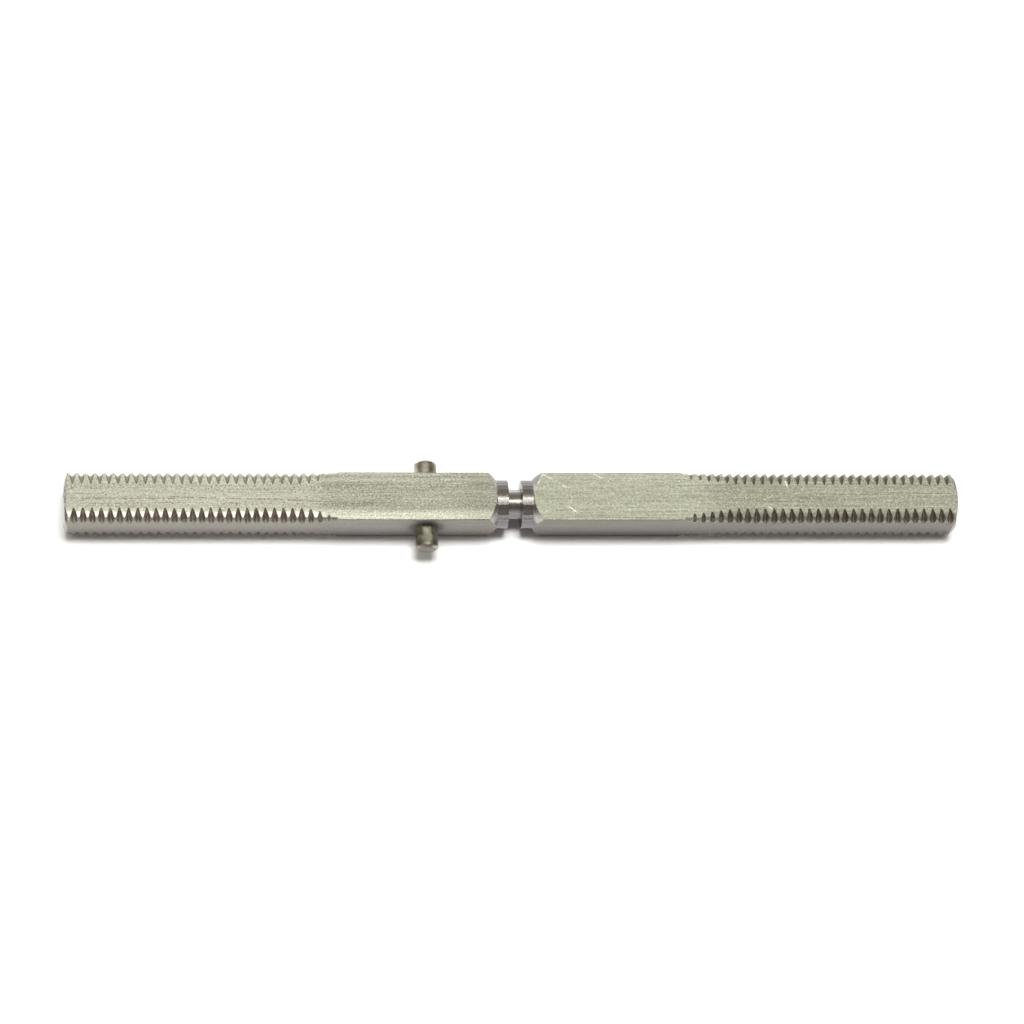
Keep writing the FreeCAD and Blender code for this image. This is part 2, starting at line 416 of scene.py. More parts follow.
    def outer_rings(self) -> Tuple[Array, Dict[str, Array]]:
        """Work out every ring of the outside.

        A ring is four corners.  Each corner has a flat stretch, a broken edge, a round
        stretch at the metal's radius, a broken edge and a flat stretch.  The edge stands
        where flat / cos(angle from the face) equals the metal's radius, found by repeating
        angle -> position -> radius -> angle.

        Returns:
            Points (rings, columns, 3) and the marks of the same grid.
        """
        station = self.ring_stations()
        weight = self.lean_weight(station)
        corner = np.array([-45.0, 45.0, 135.0, 225.0])
        side = np.array([-1.0, 1.0])
        fillet = 45 - math.degrees(math.atan((self.flat - self.edge_radius) / self.flat))
        edge = np.full((len(station), 4, 2), self.first_edge)
        for _ in range(8):
            angle = corner[None, :, None] + side * edge
            x = station[:, None, None] + weight[:, None, None] * self.helix_shift(angle)
            metal = self.metal_radius(x, angle)
            met = 45 - np.degrees(np.arccos(np.clip(self.flat / metal, 0, 1)))
            edge = np.clip(0.25 * edge + 0.75 * met, fillet, self.widest_edge)
        edge_radius = self.flat / np.cos(np.radians(45 - edge))
        sharp = np.clip((edge - fillet) / self.sharpening, 0, 1)[..., None]
        pull = self.lip_pull(len(station))[..., None] * sharp

        steps = np.array(self.flat_steps)
        reach = self.flat * np.tan(np.radians(45 - edge))[..., None]
        lateral = np.concatenate([steps * (reach - self.edge_break * sharp), reach], axis=-1)
        flat_angle = 45 - np.degrees(np.arctan(lateral / self.flat))
        flat_radius = np.sqrt(lateral ** 2 + self.flat ** 2)
        flat_radius[..., -1:] += pull
        inset = self.edge_break / edge_radius[..., None] * DEGREES_A_RADIAN * sharp
        round_angle = np.array(self.round_steps) * (edge[..., None] - inset)

        def one_side(number: int) -> Array:
            """Angle from the corner of one side's points, from the face centre inwards."""
            stretch = [flat_angle[:, :, number], round_angle[:, :, number]]
            return side[number] * np.concatenate(stretch, axis=-1)

        middle = np.zeros((len(station), 4, 1))
        offset = np.concatenate([one_side(0), middle, one_side(1)[..., ::-1][..., :-1]], axis=-1)
        flat_count = len(steps) + 1
        column_count = offset.shape[-1]
        column = np.arange(column_count)
        on_flat = (column < flat_count) | (column > column_count - flat_count)
        lip = np.isin(column, (flat_count - 1, column_count - flat_count + 1)).astype(float)

        angle = corner[None, :, None] + offset
        x = station[:, None, None] + weight[:, None, None] * self.helix_shift(angle)
        turned = self.turned_radius(x)
        metal = self.metal_radius(x, angle)
        swing = np.radians(offset)
        centre = (self.flat - self.edge_radius) * math.sqrt(2)
        inside = np.maximum(self.edge_radius ** 2 - (centre * np.sin(swing)) ** 2, 0)
        soft_corner = centre * np.cos(swing) + np.sqrt(inside)
        radius = np.minimum(metal, soft_corner)
        unused = np.zeros((len(station), 4, 2 * len(self.round_steps) + 1))
        straight = np.concatenate([flat_radius[:, :, 0], unused, flat_radius[:, :, 1, ::-1][..., :-1]], axis=-1)
        full_circle = edge.max(-1) >= self.full_circle_edge
        least = np.where(full_circle, turned.min(-1), NO_LIMIT)[..., None]
        radius[..., on_flat] = np.minimum(straight, least)[..., on_flat]
        radius = np.minimum(radius, np.where(full_circle[..., None], turned, NO_LIMIT))

        depth = np.clip((np.minimum(turned, self.mark_radius) - radius) / self.thread_depth, 0, 1)
        depth[..., on_flat] = 0
        depth[x < self.blank_start - 0.4] = 0
        on_cone = (radius >= turned - self.touch) & ~on_flat & (x < self.collar_end + self.cone_length + self.touch)
        lathe = on_cone | (x < self.collar_end + self.touch) | (x > self.half_length - self.end_bevel + self.touch)
        marks = {
            "groove": depth,
            "turned": np.where(lathe, 1.0, 0.0),
            "lip": np.broadcast_to(lip, radius.shape) * sharp.mean(2),
        }
        shape = (len(station), 4 * column_count)
        rings = turned_rings(x, radius, np.radians(angle)).reshape(*shape, 3)
        return rings, {key: value.reshape(shape) for key, value in marks.items()}

    def shell(self) -> Shell:
        """Join bore, collar face, outside and end face into one closed surface.

        Returns:
            The surface in the half's own frame, moved to its place in the shared frame.
        """
        outer, marks = self.outer_rings()
        columns, end_columns = (np.arctan2(ring[:, 2], ring[:, 1]) for ring in (outer[0], outer[-1]))
        mouth, rim = self.bore[-1][1] + 0.05, self.collar_radius - self.edge_break
        collar = [(self.collar_face, mouth), (self.collar_face, rim)]
        end_face = [(self.half_length, self.end_face_radius - 0.05), (self.half_length, 0.5)]
        inner = turned_rings(*blend_steps(self.bore, self.bore_steps), columns)
        face = turned_rings(*blend_steps(collar, [4]), columns)
        end = turned_rings(*blend_steps(end_face, [5]), end_columns)
        rings = np.concatenate([inner, face, outer, end])
        before, after = len(inner) + len(face), len(end)
        tube = capped_tube(rings, (self.bore[0][0] + self.bore[0][1] * 0.6, 0, 0), (self.half_length, 0, 0))
        for key, grid in marks.items():
            edge_value = 1.0 if key == "turned" else 0.0
            spare = (before * len(columns), after * len(columns) + 2)
            tube.marks[key] = np.pad(grid.ravel(), spare, constant_values=edge_value)
        if self.cross_hole_station is not None:
            tube = self.drilled(tube, rings)
        tube.points[:, :2] *= float(self.side.value)
        tube.points[:, 2] += self.flat
        return tube

    def drilled(self, tube: Shell, rings: Array) -> Shell:
        """Cut a straight cross hole from one side flat to the other.

        A rectangle of faces is taken off both side flats; each opening is filled by rings
        that ease from the rectangle to the circle, and the two circles are joined.

        Args:
            tube: The undrilled surface.
            rings: Its points as a grid.

        Returns:
            The drilled surface.
        """
        ring_count, column_count, _ = rings.shape
        per_corner = column_count // 4
        spread = len(self.flat_steps) - 2
        near = np.where(np.abs(rings[:, per_corner, 0] - self.cross_hole_station) < 2.6)[0]
        near = near[near > ring_count // 20]
        low, high = near[0], near[-1]
        quads = np.array([face for face in tube.faces if len(face) == 4])
        drop = np.zeros((ring_count - 1, column_count), bool)
        points, faces = tube.points, []
        circles: List[Array] = []
        first_spots: Optional[Array] = None
        for centre in (per_corner, 3 * per_corner):
            left, right = centre - spread, centre + spread
            drop[low:high, left:right] = True
            loop = ([(low, c) for c in range(left, right)] + [(r, right) for r in range(low, high)]
                    + [(high, c) for c in range(right, left, -1)] + [(r, left) for r in range(high, low, -1)])
            previous = np.array([r * column_count + c for r, c in loop])
            if first_spots is None:
                first_spots = points[previous][:, [0, 2]]
            else:
                mirror = points[previous][:, [0, 2]]
                previous = previous[[int(np.argmin(np.hypot(*(mirror - spot).T))) for spot in first_spots]]
            outline = points[previous]
            offset = outline[:, [0, 2]] - np.array([self.cross_hole_station, 0.0])
            direction = offset / np.hypot(offset[:, 0], offset[:, 1])[:, None]
            for ease in self.hole_eases:
                flat_spot = offset * (1 - ease) + direction * (self.cross_hole_radius + 0.03) * ease
                sunk = outline[:, 1] * (1.0 if ease < 1 else 1 - 0.03 / self.flat)
                if ease == 1.0:
                    flat_spot = direction * self.cross_hole_radius
                fresh = np.stack([flat_spot[:, 0] + self.cross_hole_station, sunk, flat_spot[:, 1]], axis=-1)
                current = np.arange(len(points), len(points) + len(fresh))
                points = np.vstack([points, fresh])
                faces += stitch(previous, current)
                previous = current
            circles.append(previous)
        faces += stitch(*circles)
        faces = quads[~drop.ravel()].tolist() + [face for face in tube.faces if len(face) == 3] + faces
        used = np.unique(np.concatenate([np.array(face) for face in faces]))
        lookup = np.full(len(points), -1)
        lookup[used] = np.arange(len(used))
        spare = (0, len(points) - len(tube.points))
        marks = {key: np.pad(values, spare)[used] for key, values in tube.marks.items()}
        return Shell(points[used], [lookup[np.array(face)].tolist() for face in faces], marks)


@dataclass
class SwivelStud(SpindlePiece):
    """Pressed shank, smooth neck and threaded head turned from one bar."""

    name: str = "turned_stud"
    node: str = "swivel_stud"
    body: str = "pinned"
    slot: str = "stud_steel"
    crease: float = 20
    axis_height: float = 3.571875
    shank_end: float = -8.15
    neck_radius: float = 2.125
    head_start: float = 6.05
    head_end: float = 11.05
    head_radius: float = 2.743
    head_depth: float = 0.6
    head_pitch: float = 1.0583
    columns: int = 96

    def shell(self) -> Shell:
        """Turn the stud; on the head the radius is the smaller of the blank and the groove.

        Returns:
            The closed surface in the shared frame.
        """
        neck, head = self.neck_radius, self.head_radius
        along, radius = blend_steps([
            (self.shank_end, 0.4), (self.shank_end, neck - 0.3), (self.shank_end + 0.3, neck),
            (self.head_start, neck), (self.head_start + (head - neck) * TAN_30, head),
            (self.head_end - 0.618, head), (self.head_end, neck), (self.head_end, 0.4),
        ], [4, 3, 40, 8, 80, 12, 4])
        angle = np.linspace(0, 360, self.columns, endpoint=False)
        turns = (along - self.head_start + self.head_pitch * 0.4) / self.head_pitch - angle / 360
        beside = np.abs((turns + 0.5) % 1.0 - 0.5) * self.head_pitch
        bottom = self.head_pitch * 7 / 8 - 2 * self.head_depth * TAN_30
        groove = head - self.head_depth + np.maximum(beside - bottom / 2, 0) * math.sqrt(3)
        radius = np.where(along > self.head_start - 0.05, np.minimum(radius, groove), radius)
        rings = turned_rings(along, radius, full_turn(self.columns))
        tube = capped_tube(rings, (self.shank_end, 0, 0), (self.head_end, 0, 0))
        tube.points[:, 2] += self.axis_height
        return tube


@dataclass
class StopPin(SpindlePiece):
    """Hard dowel through the pinned half, bevelled and slightly domed at both ends."""

    name: str = "dowel_pin"
    node: str = "stop_pin"
    body: str = "pinned"
    slot: str = "pin_steel"
    crease: float = 25
    station: float = -12.5
    axis_height: float = 3.571875
    near_end: float = -6.851875
    far_end: float = 6.281875
    radius: float = 1.5875
    bevel: float = 0.34
    dome: float = 0.07
    columns: int = 72

    def end_profile(self) -> List[Tuple[float, float]]:
        """Work out one end: the dome rises with the square of the radius.

        Returns:
            (distance in from the end, radius) from the middle to the side.
        """
        face = self.radius - self.bevel
        across = np.linspace(0.12, 1.0, 9)
        domed = [(self.dome * step * step, face * step) for step in across]
        turn = np.linspace(0, 1, 5)[1:]
        bevelled = [(self.dome + (self.bevel - self.dome) * step, face + self.bevel * 0.94 * step) for step in turn]
        eased = [(self.bevel + 0.03, self.radius - 0.006), (self.bevel + 0.08, self.radius)]
        return domed + bevelled + eased

    def shell(self) -> Shell:
        """Turn the pin about its own axis and lay it across the bar.

        Returns:
            The closed surface in the shared frame.
        """
        end = self.end_profile()
        near = [(self.near_end + inward, radius) for inward, radius in end]
        middle = [(spot, self.radius) for spot in np.linspace(self.near_end + 0.8, self.far_end - 0.8, 16)]
        far = [(self.far_end - inward, radius) for inward, radius in reversed(end)]
        profile = np.array(near + middle + far)
        rings = turned_rings(profile[:, :1], profile[:, 1:], full_turn(self.columns))
        tube = capped_tube(rings, (self.near_end, 0, 0), (self.far_end, 0, 0))
        along, across, up = tube.points.T
        tube.points = np.stack([self.station + across, along, up + self.axis_height], axis=-1)
        return tube


# ---- finishes


class NodeBoard:
    """A node tree under construction."""

    def __init__(self, tree: bpy.types.NodeTree) -> None:
        """Work on a tree that is there."""
        self.tree = tree

    def feed(self, socket: Socket, value: object) -> None:
        """Link a socket or set a constant on an input.

        Args:
            socket: The input.
            value: What it gets, a colour as three numbers.
        """
        if isinstance(value, Socket):
            self.tree.links.new(value, socket)
        else:
            socket.default_value = (*value, 1.0) if socket.type == "RGBA" else value

    def add(self, kind: str, inputs: Dict[object, object], **settings: object) -> bpy.types.Node:
        """Add one node.

        Args:
            kind: Its type, without the beginning that all types share.
            inputs: What feeds its inputs, by name or number.
            settings: Its own settings by name.

        Returns:
            The node.
        """
        node = self.tree.nodes.new("ShaderNode" + kind)
        for key, value in settings.items():
            setattr(node, key, value)
        for key, value in inputs.items():
            self.feed(node.inputs[key], value)
        return node

    def math(self, operation: str, *values: object, clamp: bool = False) -> Socket:
        """Combine one, two or three numbers."""
        return self.add("Math", dict(enumerate(values)), operation=operation, use_clamp=clamp).outputs[0]

    times = partialmethod(math, "MULTIPLY")
    plus = partialmethod(math, "ADD")
    minus = partialmethod(math, "SUBTRACT")
    most = partialmethod(math, "MAXIMUM")
    size = partialmethod(math, "ABSOLUTE")

    def step(self, value: object, low: float, high: float, to_low: float = 0.0, to_high: float = 1.0) -> Socket:
        """Ease from one number to another between two limits."""
        limits = {"From Min": low, "From Max": high, "To Min": to_low, "To Max": to_high}
        return self.add("MapRange", {"Value": value, **limits}, interpolation_type="SMOOTHSTEP").outputs[0]

    def mix(self, amount: object, a: object, b: object) -> Socket:
        """Blend two colours."""
        return self.add("Mix", {0: amount, 6: a, 7: b}, data_type="RGBA").outputs[2]

    def ramp(self, value: object, stops: Sequence[Tuple[float, Colour]]) -> Socket:
        """Read a run of colours at a number.

        Args:
            value: The number, from 0 to 1.
            stops: The run as (position, colour).

        Returns:
            The colour there.
        """
        node = self.add("ValToRGB", {0: value})
        elements = node.color_ramp.elements
        while len(elements) < len(stops):
            elements.new(0.5)
        for element, (position, colour) in zip(elements, stops):
            element.position = position
            element.color = (*colour, 1.0)
        return node.outputs[0]


class FinishBoard(NodeBoard):
    """A material under construction, with its coordinates in millimetres."""

    def __init__(self, name: str) -> None:
        """Start a metal surface of the given name."""
        self.material = bpy.data.materials.new(name)
        self.material.use_nodes = True
        super().__init__(self.material.node_tree)
        self.shader = next(node for node in self.tree.nodes if node.type == "BSDF_PRINCIPLED")
        place = self.add("TexCoord", {}).outputs["Object"]
        self.place = self.vector("SCALE", {0: place, "Scale": 1 / MM}).outputs[0]
        self.x, self.y, self.z = self.add("SeparateXYZ", {0: self.place}).outputs
        self.colour: object = WHITE

    def vector(self, operation: str, inputs: Dict[object, object]) -> bpy.types.Node:
        """Add one vector operation."""
        return self.add("VectorMath", inputs, operation=operation)

    def coat(self, amount: object, tint: object) -> None:
        """Lay a tint over the colour so far."""
        self.colour = self.mix(amount, self.colour, tint)

    def stretch(self, factors: Spot, offset: Spot = (0.0, 0.0, 0.0)) -> Socket:
        """Scale and move the millimetre coordinates, to draw a pattern out along an axis."""
        return self.add("Mapping", {"Vector": self.place, "Scale": factors, "Location": offset}).outputs[0]

    def noise(self, place: Socket, scale: float, detail: float = 3.0, rough: float = 0.6) -> Socket:
        """Soft random field with about `scale` cells a millimetre."""
        inputs = {"Vector": place, "Scale": scale, "Detail": detail, "Roughness": rough}
        return self.add("TexNoise", inputs).outputs[0]

    def cells(self, place: Socket, scale: float) -> Socket:
        """Distance to the nearest of scattered points, `scale` a millimetre."""
        return self.add("TexVoronoi", {"Vector": place, "Scale": scale}).outputs["Distance"]

    def scratch(self, start: Spot, end: Spot, width: float) -> Socket:
        """1 within `width` millimetres of a straight line between two spots, easing to 0.

        The nearest spot on the line is start + clamp((p - start) . run / run . run) * run.

        Args:
            start: Where the line starts, in millimetres.
            end: Where it ends.
            width: Its width.

        Returns:
            The amount of scratch.
        """
        run = Vector(end) - Vector(start)
        away = self.vector("SUBTRACT", {0: self.place, 1: start}).outputs[0]
        share = self.vector("DOT_PRODUCT", {0: away, 1: run / run.length_squared}).outputs["Value"]
        reach = self.vector("SCALE", {0: run, "Scale": self.plus(share, 0.0, clamp=True)}).outputs[0]
        gap = self.vector("DISTANCE", {0: away, 1: reach}).outputs["Value"]
        return self.step(gap, width * 0.4, width * 1.3, 1.0, 0.0)

    def mark(self, name: str) -> Socket:
        """Read a number carried on the mesh's points."""
        return self.add("Attribute", {}, attribute_name=name).outputs["Fac"]

    def bump(self, height: Socket, millimetres: float, under: Optional[Socket] = None) -> Socket:
        """Raise the surface by a height field.

        Args:
            height: The field.
            millimetres: How far its 1 stands over its 0.
            under: The surface that it is laid on.

        Returns:
            The raised surface.
        """
        inputs = {"Distance": millimetres * MM, "Height": height}
        if under is not None:
            inputs["Normal"] = under
        return self.add("Bump", inputs).outputs[0]

    def finished(self, rough: object, normal: Socket, metal: object = 1.0) -> bpy.types.Material:
        """Feed the shader.

        Args:
            rough: Roughness.
            normal: The raised surface.
            metal: How metallic it is.

        Returns:
            The finished material.
        """
        inputs = {"Base Color": self.colour, "Roughness": rough, "Normal": normal, "Metallic": metal}
        for key, value in inputs.items():
            self.feed(self.shader.inputs[key], value)
        return self.material


class Finish:
    """What a piece is dressed in."""

    def material(self) -> bpy.types.Material:
        """Lay the finish out as nodes."""
        raise NotImplementedError


@dataclass(frozen=True, kw_only=True)
class DrawnSteel(Finish):
    """Bright drawn bar: lengthwise grain, pits, oiled grooves and turned collars, with painted shade and painted
    highlights.
    """

    name: str
    pale: Colour
    dull: Colour
    shadow_tint: Colour
    groove_oil_and_shade: Colour = (0.125, 0.080, 0.060)
    bright: Colour = (0.80, 0.81, 0.70)
    turned_tint: Colour = (0.47, 0.45, 0.44)
    dark_specks: float = 0.62
    white_specks: float = 0.74
    score_colour: Colour = HIGHLIGHT_AND_SCRATCH_WHITE
    thread_tint: Colour = (0.30, 0.31, 0.24)
    thread_share: float = 0.0
    land_light_and_shade: Colour = HIGHLIGHT_AND_SCRATCH_WHITE
    land_light_share: float = 0.0
    joint_dulling: float = 0.0
    floor_reflection_tint: Colour = (0.15, 0.14, 0.155)
    back_oil: float
    pin_shade_station: Optional[float] = None
    pin_shade_height: float = 3.9
    bands: Profile
    lip_range: Tuple[float, float] = (0.42, 0.60)
    top_height: float = 7.14
    scratches: Sequence[Tuple[Tuple[float, float], Tuple[float, float], float]] = ()
    roughness: float = 0.37
    painted_shade_tint: Colour = (0.24, 0.215, 0.21)
    pin_shade_tint: Colour = (0.11, 0.095, 0.10)
    side_shade: float
    wear: Wear = Wear.EVEN
    offset: Spot = (0.0, 0.0, 0.0)

    def material(self) -> bpy.types.Material:
        """Lay the finish out as nodes.

        Colour, each layer over the last: pale and dull mottling in lengthwise bands, the
        threaded stretch's tint, grain, specks and pits, painted shade on the side flats that
        deepens towards the bottom, painted light along the front edge of the top (a highlight
        on one half, shade on the other), dulling by the joint, painted shade round the pin,
        worn lips with painted highlights, painted glints and scratches, the lathe's grey with
        painted shade low down, at the back and in the gap, and oiled grooves with painted shade
        along the bottom row.  Height: specks and pits, grain along the bar, lathe
        rings and, on a rolled edge, a fall of the top towards the front.

        Returns:
            The material.
        """
        board = FinishBoard(self.name)
        times, plus, minus, most = board.times, board.plus, board.minus, board.most
        step, noise, coat = board.step, board.noise, board.coat
        x, y, z = board.x, board.y, board.z
        base = board.stretch((1.0, 1.0, 1.0), self.offset)
        draw = board.stretch((0.30, 1.6, 1.6), self.offset)
        groove, turned, lip = (board.mark(name) for name in ("groove", "turned", "lip"))
        bare = minus(1.0, turned, clamp=True)
        out = board.size(x)
        aside = step(board.size(y), 3.50, 3.56)

        mottle = noise(draw, 0.5, 4.0)
        grain = noise(board.stretch((0.10, 5.0, 5.0), self.offset), 1.0, 4.0)
        speckle = noise(board.stretch((0.8, 1.0, 1.0), self.offset), 4.6, 2.0, 0.7)
        across = plus(board.math("MULTIPLY_ADD", y, 0.14, 0.5), times(minus(mottle, 0.5), 0.07))
        band = board.ramp(across, [(spot, (grey, grey, grey)) for spot, grey in self.bands])
        pitted = times(step(band, 0.42, 0.62, 1.0, 0.25), step(noise(draw, 0.8), 0.40, 0.58, 0.35, 1.0))
        pit = times(step(board.cells(base, 2.3), 0.16, 0.34, 1.0, 0.0), pitted)

        board.colour = board.mix(step(mottle, 0.34, 0.66, 0.25, 0.75), self.dull, self.pale)
        coat(times(minus(0.68, band), 0.9, clamp=True), self.shadow_tint)
        coat(times(minus(band, 0.62), 1.4, clamp=True), self.bright)
        coat(times(step(out, 25.5, 30.0), self.thread_share), self.thread_tint)
        coat(step(grain, 0.50, 0.70, 0.0, 0.42), self.shadow_tint)
        coat(step(grain, 0.46, 0.32, 0.0, 0.40), self.bright)
        coat(step(speckle, 0.31, 0.49, self.dark_specks, 0.0), self.shadow_tint)
        coat(step(speckle, 0.51, 0.69, 0.0, self.white_specks), self.bright)
        coat(times(pit, 0.80), self.shadow_tint)

        # Painted shade: the side flats are darkened, more towards the bottom, as a painted reflection of the
        # shadowed floor beside the bar.
        low = step(z, 0.0, 5.0, 1.0, 0.0)
        coat(times(aside, plus(times(low, 0.30), self.side_shade, clamp=True)), self.painted_shade_tint)
        # Painted light along the front edge of the top on the threaded stretch: a painted highlight on the worn
        # half, painted shade on the other.
        front = times(step(y, -2.7, -2.2, self.land_light_share, 0.0), step(out, 26.5, 28.5))
        coat(times(front, step(z, 7.0, 7.1)), self.land_light_and_shade)
        coat(times(step(out, 4.0, 10.0, self.joint_dulling, 0.0), bare), self.shadow_tint)
        # Painted shade round the pin on the side flats: a dark painted reflection of the pin and its shade.
        if self.pin_shade_station is not None:
            along, up = minus(x, self.pin_shade_station), minus(z, self.pin_shade_height)
            reach = board.math("SQRT", plus(times(along, along), times(up, up)))
            coat(times(step(reach, 1.8, 3.1, 0.75, 0.0), aside), self.pin_shade_tint)

        # Groove lips: worn edges that also carry painted highlights; the glints are painted highlights dotted over
        # the bare metal.
        lip_wear_and_highlight = times(lip, step(noise(base, 1.1, 2.0), *self.lip_range))
        glint = times(step(noise(base, 5.0, 1.0, 0.5), 0.70, 0.80, 0.0, 0.7), bare)
        coat(most(lip_wear_and_highlight, glint), HIGHLIGHT_AND_SCRATCH_WHITE)
        scored = times(step(noise(base, 1.6), 0.36, 0.56), step(z, 7.05, 7.12))
        for start, end, width in self.scratches:
            scratch = board.scratch((*start, self.top_height), (*end, self.top_height), width)
            coat(times(scratch, scored), self.score_colour)

        coat(turned, self.turned_tint)
        # Painted shade on the collars and cone where they mirror the floor: low down and towards the back.
        collar_reflection_shade = most(step(z, 5.1, 6.0, 0.85, 0.0), step(y, 1.2, 2.4, 0.0, 0.75))
        coat(times(collar_reflection_shade, times(turned, step(out, 5.0, 6.0, 1.0, 0.0))), self.floor_reflection_tint)
        # Painted shade on the collar faces in the gap between the halves.
        coat(times(step(out, 0.955, 0.985, 1.0, 0.0), 0.8), self.painted_shade_tint)

        # Oiled grooves, strongest along the top; the extra darkening along the bottom row near the floor is painted
        # shade.
        upper = times(step(z, 5.5, 6.3, 0.40, 1.0), step(y, 1.0, 3.0, 1.0, self.back_oil))
        under = step(z, 0.7, 1.7, 0.95, 0.0)
        grime = step(noise(base, 1.4), 0.30, 0.62, 0.70, 1.0)
        oil_and_low_shade = times(times(step(groove, 0.05, 0.5), grime), most(upper, under))
        coat(oil_and_low_shade, self.groove_oil_and_shade)

        rough = step(speckle, 0.30, 0.70, self.roughness - 0.05, self.roughness + 0.07)
        for amount, change in ((turned, -0.10), (aside, 0.20), (groove, 0.10), (lip_wear_and_highlight, 0.16)):
            rough = plus(rough, times(amount, change))

        normal = board.bump(times(plus(speckle, times(pit, -0.9)), bare), 0.012)
        normal = board.bump(times(grain, bare), 0.005, normal)
        lathe = noise(board.stretch((14.0, 0.5, 0.5), self.offset), 1.0, 2.0, 0.5)
        normal = board.bump(times(lathe, turned), 0.0025, normal)
        if self.wear is Wear.ROLLED_FRONT_EDGE:
            run = most(minus(times(y, -1.0), 2.05), 0.0)
            sag = times(board.math("MULTIPLY_ADD", run, 0.55, 0.45), run)
            normal = board.bump(times(times(sag, -1.0), step(z, 7.08, 7.13)), 0.055, normal)
        return board.finished(rough, normal, minus(1.0, times(oil_and_low_shade, 0.85), clamp=True))


@dataclass(frozen=True)
class TurnedSteel(Finish):
    """Ground or turned round steel with fine rings about one axis, a patchy film and painted shade."""

    name: str
    clean: Colour
    film: Colour
    roughness: float
    ring_stretch: Spot
    film_cover: float = 0.5
    end_shade: float = 0.0
    end_shade_tint: Colour = (0.07, 0.06, 0.05)
    neck_floor_shade: float = 0.0
    floor_reflection_tint: Colour = (0.13, 0.12, 0.125)
    pin_centre: float = -0.285
    pin_face: float = 6.48

    def material(self) -> bpy.types.Material:
        """Lay the finish out as nodes.

        Colour: a patchy film and specks over clean metal, painted shade on the pin's end faces and
        painted shade low down on the neck.  Height: rings and specks.

        Returns:
            The material.
        """
        board = FinishBoard(self.name)
        patch = board.noise(board.place, 0.9, 4.0)
        rings = board.noise(board.stretch(self.ring_stretch), 1.0, 3.0, 0.55)
        speck = board.noise(board.place, 5.5)
        centre = 1.0 - self.film_cover
        board.colour = board.mix(board.step(patch, centre - 0.16, centre + 0.16), self.clean, self.film)
        board.coat(board.step(speck, 0.60, 0.75, 0.0, 0.35), self.film)
        # Painted shade on the pin's end faces, which mirror the floor.
        if self.end_shade:
            reach = board.size(board.minus(board.y, self.pin_centre))
            low, high = self.pin_face - 0.03, self.pin_face + 0.03
            board.coat(board.step(reach, low, high, 0.0, self.end_shade), self.end_shade_tint)
        # Painted shade low down on the neck, where it mirrors the floor in the gap.
        if self.neck_floor_shade:
            board.coat(board.step(board.z, 4.5, 5.2, self.neck_floor_shade, 0.0), self.floor_reflection_tint)
        rough = board.step(rings, 0.3, 0.7, self.roughness - 0.05, self.roughness + 0.06)
        return board.finished(rough, board.bump(speck, 0.004, board.bump(rings, 0.0025)))


# ---- studio


